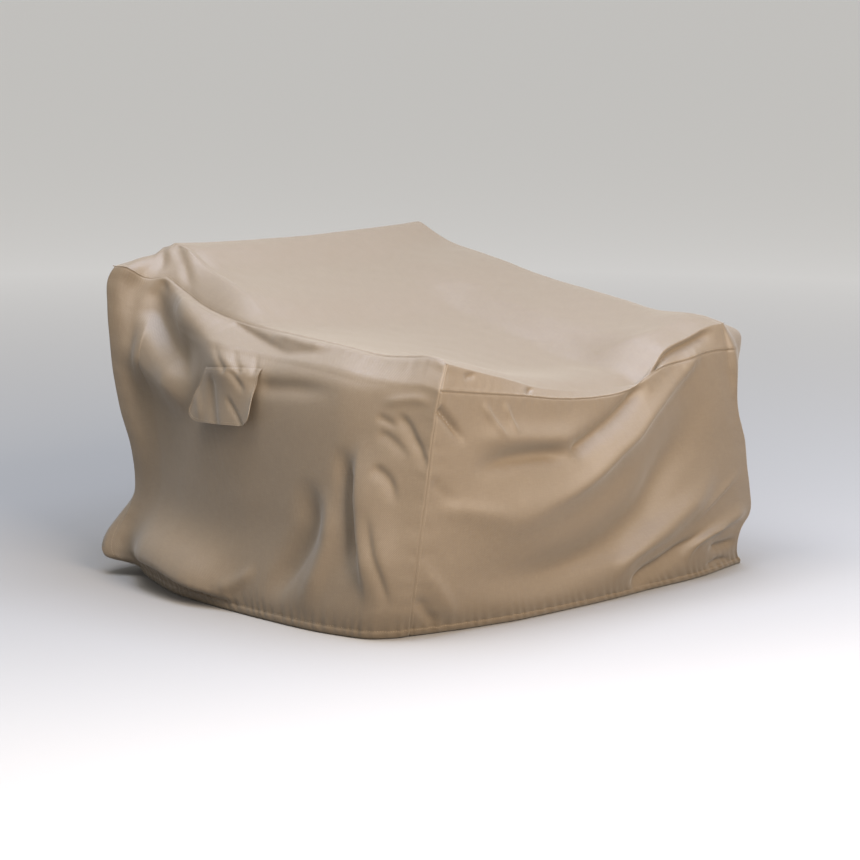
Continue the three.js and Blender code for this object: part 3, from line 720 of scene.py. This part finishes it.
rng = np.random.default_rng(SLACK_SEED)
slack_fields = []
for row in SLACK_ROWS:
    ways = rng.normal(size=(SLACK_WAVES, 3))
    ways *= 2 * math.pi / row["wavelength"] / np.linalg.norm(ways, axis=1, keepdims=True)
    turns = rng.normal(size=(SLACK_WAVES, 3)) / math.sqrt(SLACK_WAVES)
    slack_fields.append((ways, rng.uniform(0, 2 * math.pi, SLACK_WAVES), turns, row["height"]))

# The top and its turned-down edge are one length of cloth, so their crest is rounded as one.
front_columns = slice(FRONT_START, RIGHT_START + 1)
row = np.arange(1, ROWS + BAND_STEPS)[:, None, None]
column = np.arange(1, COLUMNS)[None, :, None]
along_arm = smoothstep(row, ARM_CREST_FIRST_ROW, ARM_CREST_FULL_ROW)
arm_crest = np.exp(-(((column - STRIP_STEPS) / ARM_CREST_STEPS) ** 2)) * along_arm
softness = RIDGE_SOFTNESS + (1 - RIDGE_SOFTNESS) * arm_crest
softness = softness * (1 - FRONT_CREST_CRISPNESS * np.exp(-(((row - ROWS) / FRONT_CREST_STEPS) ** 2)))
for corner in (STRIP_STEPS, STRIP_STEPS + ACROSS_STEPS):
    from_corner = np.hypot(row - BACK_STRIP_STEPS, column - corner)
    softness = softness * (1 - CORNER_CRISPNESS * np.exp(-((from_corner / CORNER_STEPS) ** 2)))
over_front = softened(np.concatenate([top, wall[1 : BAND_STEPS + 1, front_columns]]), TOP_PASSES, softness)
top = over_front[: ROWS + 1]
wall[: BAND_STEPS + 1, front_columns] = over_front[ROWS:]
wall = softened(wall, WALL_PASSES, closed=True)

out = facing(wall, closed=True)
edge = smoothstep(wall_down, 0, TOP_EDGE_EASE) * smoothstep(WALL_HEIGHT - wall_down, 0, HEM_EASE)
shift = np.zeros(wall.shape)
for fold in WALL_FOLDS:
    for turn in (-LOOP_LENGTH, 0, LOOP_LENGTH):
        lift = (edge * raised(fold, wall_across + turn, wall_down))[..., None]
        shift += lift * (np.array(fold["push"]) if "push" in fold else out)

# The walls' seams: a groove where two panels meet, a ridge where their allowances lie under one of them,
# and puckers that run out from the thread. The hem is a gathered band, with puckers above it.
relief = np.zeros(wall_down.shape)
for seam_at in (0, SIDE_LENGTH, SIDE_LENGTH + FRONT_LENGTH, 2 * SIDE_LENGTH + FRONT_LENGTH):
    from_corner = np.abs((wall_across - seam_at + LOOP_LENGTH / 2) % LOOP_LENGTH - LOOP_LENGTH / 2)
    ease = edge * smoothstep(from_corner, 0, PUCKER_EASE)
    relief += CORNER_GATHER * ease * puckered(wall_down, from_corner, CORNER_WAVE, CORNER_REACH, seam_at)
    relief -= SEAM_GROOVE * np.exp(-((from_corner / SEAM_GROOVE_WIDTH) ** 2))
on_front = (wall_across >= SIDE_LENGTH) & (wall_across <= SIDE_LENGTH + FRONT_LENGTH)
seam_down = np.where(on_front, BAND_SHARE * WALL_HEIGHT, 0)
from_seam = np.abs(wall_down - seam_down)
ease = smoothstep(from_seam, 0, PUCKER_EASE)
relief += SEAM_GATHER * ease * puckered(wall_across, from_seam, SEAM_WAVE, SEAM_REACH, WALL_PUCKER_START)
relief -= SEAM_GROOVE * np.exp(-((from_seam / SEAM_GROOVE_WIDTH) ** 2))
on_band = on_front & (wall_down < seam_down)
relief += SEAM_RIDGE * on_band * np.exp(-(((from_seam - SEAM_RIDGE_AT) / SEAM_RIDGE_WIDTH) ** 2))
above_hem = WALL_HEIGHT - wall_down
over_band = np.maximum(above_hem - HEM_BAND, 0)
gathers = puckered(wall_across, over_band, HEM_WAVE, HEM_REACH, HEM_PUCKER_START)
relief += HEM_GATHER * gathers * smoothstep(above_hem, 0, HEM_BAND)
hem_round = np.clip(1 - ((above_hem / HEM_BAND) * 2 - 1) ** 2, 0, 1)
relief += HEM_BULGE * np.sqrt(hem_round)
flat_wall = wall
wall = wall + shift + relief[..., None] * out
wall = wall + slack(flat_wall)

# The top's seams, in the same way: down the left side, along the back and down the right side.
up = facing(top)
top_x, top_y = top[..., 0], top[..., 1]
lift = sum(raised(fold, top_x, top_y) for fold in TOP_FOLDS)
from_left, from_back = walked(top, 1), walked(top, 0)
from_right = from_left[:, -1:] - from_left
for from_edge, along in ((from_left, from_back), (from_right, from_back), (from_back, from_left)):
    ease = smoothstep(from_edge, 0, PUCKER_EASE)
    gathers = puckered(along, from_edge, SEAM_WAVE, SEAM_REACH, TOP_PUCKER_START)
    lift += SEAM_GATHER * ease * gathers
    lift += SEAM_RIDGE * np.exp(-(((from_edge - SEAM_RIDGE_AT) / SEAM_RIDGE_WIDTH) ** 2))
to_rim = np.minimum(np.minimum(from_left, from_right), from_back)
lift -= SEAM_GROOVE * np.exp(-((to_rim / SEAM_GROOVE_WIDTH) ** 2))
fade = smoothstep(from_back[-1:] - from_back, 0, PUCKER_EASE)
fade[:, 0] = fade[:, -1] = 1
flat_top = top
top = top + (lift * fade)[..., None] * up + slack(flat_top)

# Both panels at a seam end on the same line, halfway between the two.
for own, other in (
    ((slice(None), 0), (0, np.arange(ROWS + 1))),
    ((slice(None), -1), (0, np.arange(BACK_START, RIGHT_START - 1, -1))),
    ((0, slice(None)), (0, np.arange(BACK_START + COLUMNS, BACK_START - 1, -1) % wall.shape[1])),
    ((-1, slice(None)), (0, np.arange(FRONT_START, RIGHT_START + 1))),
):
    meeting = (top[own] + wall[other]) / 2
    top[own], wall[other] = meeting, meeting

# The cloth, woven polyester of about 600 denier with a coated back: a plain weave of filament yarn, with a
# faint satin sheen on its broad folds, paler at a glancing angle, and slubs that mottle it along both yarns.
# Its real yarns are about 0.5 mm apart and too fine to show; they are drawn at 2 mm, coarse enough to see.
CLOTH_THICKNESS = 1.4
CLOTH_HEX = "#675946"
CLOTH_SHADE_HEX = "#625442"
CLOTH_ROUGHNESS = 0.53
CLOTH_IOR = 1.5
CLOTH_SPECULAR = 0.5
SHEEN_HEX = "#f2efe9"
SHEEN_WEIGHT = 0.15
SHEEN_ROUGHNESS = 0.5
SLUB_LENGTH_MM = 25
SLUB_SLENDERNESS = 13
SLUB_DETAIL = 2.0
SHADE_BELOW = 0.15
FULL_TONE_ABOVE = 0.38
YARN_PITCH_MM = 2.0
WEAVE_DEPTH_MM = 0.12
BACK_HEX = "#8f8a84"
BACK_ROUGHNESS = 0.5
BACK_IOR = 1.48
SHARP_DEGREES = 70


def woven(name, hexes, roughness, sheen):
    """A woven cloth's material: two close tones mottled along the yarns, and a plain weave's bumps."""
    material, shader = new_material(name)
    tree = material.node_tree
    cloth_place = add_node(tree, "ShaderNodeUVMap", {"uv_map": "cloth_metres"}).outputs["UV"]
    lengthwise = 1 / (SLUB_LENGTH_MM * MM)
    crosswise = lengthwise * SLUB_SLENDERNESS
    mottle = []
    for scale in ((lengthwise, crosswise, 1), (crosswise, lengthwise, 1)):
        stretched = add_node(
            tree, "ShaderNodeVectorMath", {"operation": "MULTIPLY"}, {0: cloth_place, 1: scale},
        )
        noise = add_node(
            tree, "ShaderNodeTexNoise", {"noise_dimensions": "2D"},
            {"Vector": stretched.outputs[0], "Scale": 1.0, "Detail": SLUB_DETAIL},
        )
        mottle.append(noise.outputs["Fac"])
    both = add_node(tree, "ShaderNodeMath", {"operation": "MULTIPLY"}, {0: mottle[0], 1: mottle[1]})
    tones = add_node(tree, "ShaderNodeValToRGB", None, {"Fac": both.outputs[0]})
    for stop, position, tone in zip(tones.color_ramp.elements, (SHADE_BELOW, FULL_TONE_ABOVE), hexes):
        stop.position = position
        stop.color = linear(tone)
    tree.links.new(tones.outputs["Color"], shader.inputs["Base Color"])

    parts = add_node(tree, "ShaderNodeSeparateXYZ", None, {"Vector": cloth_place})
    waves = []
    for axis in ("X", "Y"):
        turn = add_node(
            tree, "ShaderNodeMath", {"operation": "MULTIPLY"},
            {0: parts.outputs[axis], 1: math.pi / (YARN_PITCH_MM * MM)},
        )
        waves.append(add_node(tree, "ShaderNodeMath", {"operation": "SINE"}, {0: turn.outputs[0]}).outputs[0])
    weave = add_node(tree, "ShaderNodeMath", {"operation": "MULTIPLY"}, {0: waves[0], 1: waves[1]})
    bump = add_node(
        tree, "ShaderNodeBump", None,
        {"Height": weave.outputs[0], "Distance": WEAVE_DEPTH_MM * MM, "Strength": 1.0},
    )
    tree.links.new(bump.outputs["Normal"], shader.inputs["Normal"])
    shader.inputs["Roughness"].default_value = roughness
    shader.inputs["IOR"].default_value = CLOTH_IOR
    shader.inputs["Specular IOR Level"].default_value = CLOTH_SPECULAR
    shader.inputs["Sheen Weight"].default_value = sheen
    shader.inputs["Sheen Roughness"].default_value = SHEEN_ROUGHNESS
    shader.inputs["Sheen Tint"].default_value = linear(SHEEN_HEX)
    return material


cloth_face = woven("woven_polyester", (CLOTH_SHADE_HEX, CLOTH_HEX), CLOTH_ROUGHNESS, SHEEN_WEIGHT)

# The back of the cloth: a thin polyurethane coating, spread on and cured, that keeps the rain out. It is
# smooth, grey and a little glossy, and only the inside of the cover shows it.
coated_back, coated_shader = new_material("polyurethane_coated_back")
coated_shader.inputs["Base Color"].default_value = linear(BACK_HEX)
coated_shader.inputs["Roughness"].default_value = BACK_ROUGHNESS
coated_shader.inputs["IOR"].default_value = BACK_IOR


def cloth_piece(name, grid, place):
    """A closed sheet of cloth from its outer grid in millimetres, with the cloth's metres as its UV map."""
    inner = grid - facing(grid) * CLOTH_THICKNESS
    count = grid.shape[0] * grid.shape[1]
    number = np.arange(count).reshape(grid.shape[:2])
    quads = [number[:-1, :-1], number[1:, :-1], number[1:, 1:], number[:-1, 1:]]
    quads = np.stack(quads, axis=-1).reshape(-1, 4)
    rim = np.concatenate([number[:-1, 0], number[-1, :-1], number[:0:-1, -1], number[0, :0:-1]])
    ahead = np.roll(rim, -1)
    edges = np.stack([ahead, rim, rim + count, ahead + count], axis=-1)
    faces = np.concatenate([quads, edges, quads[:, ::-1] + count])
    mesh = bpy.data.meshes.new(name)
    mesh.from_pydata(hung(np.concatenate([grid, inner]).reshape(-1, 3)), [], faces.tolist())
    mesh.materials.append(cloth_face)
    mesh.materials.append(coated_back)
    mesh.polygons.foreach_set("material_index", [0] * (len(quads) + len(edges)) + [1] * len(quads))
    corners = np.zeros(len(mesh.loops), int)
    mesh.loops.foreach_get("vertex_index", corners)
    layer = mesh.uv_layers.new(name="cloth_metres")
    layer.data.foreach_set("uv", (np.tile(place.reshape(-1, 2), (2, 1)) * MM)[corners].ravel())
    mesh.shade_smooth()
    mesh.set_sharp_from_angle(angle=math.radians(SHARP_DEGREES))
    piece = bpy.data.objects.new(name, mesh)
    scene.collection.objects.link(piece)
    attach(piece, "root")
    return piece


def loop(first, last, start=0):
    """The walls from one column of the loop to another, as a grid and its places on the flat cloth."""
    columns = np.arange(first, last + 1) % wall.shape[1]
    across = wall_across[start:, columns].copy()
    across[:, columns < first] += LOOP_LENGTH
    return wall[start:, columns], np.stack([across, wall_down[start:, columns]], axis=-1)


# The top panel with its turned-down front edge, and the four walls: each is one sheet, sewn to its
# neighbours, and stands in for its panel of the model, which is hidden.
over = np.concatenate([top, wall[1 : BAND_STEPS + 1, front_columns]])
over_place = np.stack([over[..., 0], walked(over, 0)], axis=-1)
top_piece = cloth_piece("top_cloth", over, over_place)
front_piece = cloth_piece("front_cloth", *loop(FRONT_START, RIGHT_START, BAND_STEPS))
left_piece = cloth_piece("left_side_cloth", *loop(0, FRONT_START))
right_piece = cloth_piece("right_side_cloth", *loop(RIGHT_START, BACK_START))
back_piece = cloth_piece("back_cloth", *loop(BACK_START, BACK_START + COLUMNS))
for piece, node, flat, area in (
    (top_piece, "top_panel", (1.10, 1.24), 1.10),
    (front_piece, "front_panel", (1.10, 0.58), 0.60),
    (left_piece, "left_side_panel", (1.06, 0.78), 0.70),
    (right_piece, "right_side_panel", (1.10, 0.74), 0.72),
    (back_piece, "back_panel", (1.18, 0.76), 0.84),
):
    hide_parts(node)

# The vent flap: a hood of the same cloth, sewn along its top edge over a vent in the left side, open below.
# It stands off the wall below its seam, ripples a little, and is crumpled by a deep fold on its left and two
# pulls on its right. Its lower corners are cut round. Its folds are paths over the left side's flat cloth.
FLAP_TOP_LEFT = [388, 106]
FLAP_TOP_RIGHT = [549, 84]
FLAP_BOTTOM_LEFT = [333, 225]
FLAP_BOTTOM_RIGHT = [553, 206]
FLAP_CORNER_SHARE = 0.2
FLAP_ACROSS_STEPS = 56
FLAP_DOWN_STEPS = 36
FLAP_SEWN_LIFT = 2.6
FLAP_OPEN_LIFT = 30
FLAP_LIFT_POWER = 0.8
FLAP_FOLDS_FROM = 0.15
FLAP_RIPPLE = 1.6
FLAP_RIPPLES = 2
FLAP_RIPPLE_START = 1.0
FLAP_FOLDS = [
    dict(height=-7, spread=(13, 15), fade=(0.2, 0.05), path=[(412, 110), (424, 171), (446, 228)]),
    dict(height=-5, spread=(6, 8), sharp=0.2, fade=(0.05, 0.4), path=[(466, 92), (492, 110), (530, 142)]),
    dict(height=-5, spread=(6, 8), sharp=0.2, fade=(0.3, 0.05), path=[(468, 150), (498, 178), (530, 210)]),
    dict(height=4, spread=(14, 16), path=[(352, 150), (372, 182), (392, 224)]),
]


def on_left_side(across, down, grid):
    """A value of the left side's grid at places on its cloth."""
    c = np.interp(across, wall_across[0, : ROWS + 1], np.arange(ROWS + 1))
    r = np.interp(down, wall_down[:, 0], np.arange(len(wall_down)))
    c0, r0 = np.floor(c).astype(int), np.floor(r).astype(int)
    s, t = (c - c0)[..., None], (r - r0)[..., None]
    upper = grid[r0, c0] * (1 - s) + grid[r0, c0 + 1] * s
    lower = grid[r0 + 1, c0] * (1 - s) + grid[r0 + 1, c0 + 1] * s
    return upper * (1 - t) + lower * t


s, t = np.meshgrid(np.linspace(0, 1, FLAP_ACROSS_STEPS + 1), np.linspace(0, 1, FLAP_DOWN_STEPS + 1))
near_side = np.minimum(np.minimum(s, 1 - s) / FLAP_CORNER_SHARE, 1)
reach = t * (1 - (1 - np.sqrt(1 - (1 - near_side) ** 2)) * FLAP_CORNER_SHARE)
flap_left = straight(FLAP_TOP_LEFT, FLAP_BOTTOM_LEFT)(reach)
flap_right = straight(FLAP_TOP_RIGHT, FLAP_BOTTOM_RIGHT)(reach)
flap_place = flap_left + (flap_right - flap_left) * s[..., None]
flap_lift = FLAP_SEWN_LIFT + (FLAP_OPEN_LIFT - FLAP_SEWN_LIFT) * t**FLAP_LIFT_POWER
flap_lift += FLAP_RIPPLE * t * np.sin(s * 2 * math.pi * FLAP_RIPPLES + FLAP_RIPPLE_START)
flap_across, flap_down = flap_place[..., 0], flap_place[..., 1]
crumple = sum(raised(fold, flap_across, flap_down) for fold in FLAP_FOLDS)
flap_lift += crumple * smoothstep(t, 0, FLAP_FOLDS_FROM)
under = on_left_side(flap_across, flap_down, wall)
off_wall = on_left_side(flap_across, flap_down, out)
flap_grid = under + off_wall * flap_lift[..., None]
flap_piece = cloth_piece("vent_flap_cloth", flap_grid, flap_place)
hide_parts("vent_flap")

# The stitching: polyester thread in lockstitch, about 4 stitches to the inch, 6 mm from each seam on the side
# that its allowances lie on, along the hem's upper edge and round the flap. The thread is a smooth filament,
# a little paler than the cloth, and is drawn 0.8 mm thick so that it shows.
STITCH_PITCH = 6.0
STITCH_LENGTH = 4.4
STITCH_WIDTH = 0.8
STITCH_HEIGHT = 0.5
STITCH_SUNK = 0.4
STITCH_FROM_SEAM = 6.0
NEAR_COLUMNS = 12
THREAD_HEX = "#8a7b66"
THREAD_ROUGHNESS = 0.6
THREAD_SPECULAR = 0.35


def beside(grid, distance):
    """A line over a grid at a distance from its first column, with the outward directions along it."""
    near, normals = grid[:, :NEAR_COLUMNS], facing(grid)[:, :NEAR_COLUMNS]
    runs = walked(near, 1)

    def at_distance(values):
        return np.array([at_run(distance, run, row) for run, row in zip(runs, values)])

    return at_distance(near), at_distance(normals)


def stitched(lines):
    """The stitches along lines of points and outward directions, as vertices in millimetres and faces."""
    vertices, faces = [], []
    for points, normals in lines:
        run = run_of(points)
        middles = np.arange(STITCH_PITCH, run[-1] - STITCH_PITCH, STITCH_PITCH)
        start = at_run(middles - STITCH_LENGTH / 2, run, points)
        end = at_run(middles + STITCH_LENGTH / 2, run, points)
        up_way = at_run(middles, run, normals)
        side_way = np.cross(up_way, end - start)
        side_way *= STITCH_WIDTH / 2 / np.linalg.norm(side_way, axis=1, keepdims=True)
        raise_by, sink_by = up_way * STITCH_HEIGHT, up_way * STITCH_SUNK
        for a, b, up_step, down_step, side in zip(start, end, raise_by, sink_by, side_way):
            n = len(vertices)
            quarter = (b - a) / 4
            vertices += [a - down_step, b - down_step]
            for bend in (a + quarter, b - quarter):
                vertices += [bend + up_step, bend + side, bend - down_step, bend - side]
            for i in range(4):
                j = (i + 1) % 4
                faces += [(n, n + 2 + i, n + 2 + j), (n + 1, n + 6 + j, n + 6 + i)]
                faces.append((n + 2 + i, n + 6 + i, n + 6 + j, n + 2 + j))
    return np.array(vertices), faces


thread, thread_shader = new_material("polyester_thread")
thread_shader.inputs["Base Color"].default_value = linear(THREAD_HEX)
thread_shader.inputs["Roughness"].default_value = THREAD_ROUGHNESS
thread_shader.inputs["Specular IOR Level"].default_value = THREAD_SPECULAR
front_grid = wall[BAND_STEPS:, front_columns]
back_grid = loop(BACK_START, BACK_START + COLUMNS)[0]
around = np.concatenate([wall, wall[:, :1]], axis=1)
seam_edges = [
    over[: ROWS + 1],
    over[: ROWS + 1, ::-1],
    over.transpose(1, 0, 2),
    over[::-1].transpose(1, 0, 2),
    front_grid,
    front_grid[:, ::-1],
    back_grid,
    back_grid[:, ::-1],
]
hem_edges = [around[::-1].transpose(1, 0, 2)]
flap_edges = [
    flap_grid.transpose(1, 0, 2),
    flap_grid,
    flap_grid[:, ::-1],
    flap_grid[::-1].transpose(1, 0, 2),
]
for name, edges, distance in (
    ("seam_stitching", seam_edges, STITCH_FROM_SEAM),
    ("hem_stitching", hem_edges, HEM_BAND),
    ("flap_stitching", flap_edges, STITCH_FROM_SEAM),
):
    vertices, faces = stitched([beside(grid, distance) for grid in edges])
    mesh = bpy.data.meshes.new(name)
    mesh.from_pydata(hung(vertices), [], faces)
    mesh.materials.append(thread)
    mesh.shade_smooth()
    stitching = bpy.data.objects.new(name, mesh)
    scene.collection.objects.link(stitching)
    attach(stitching, "root")
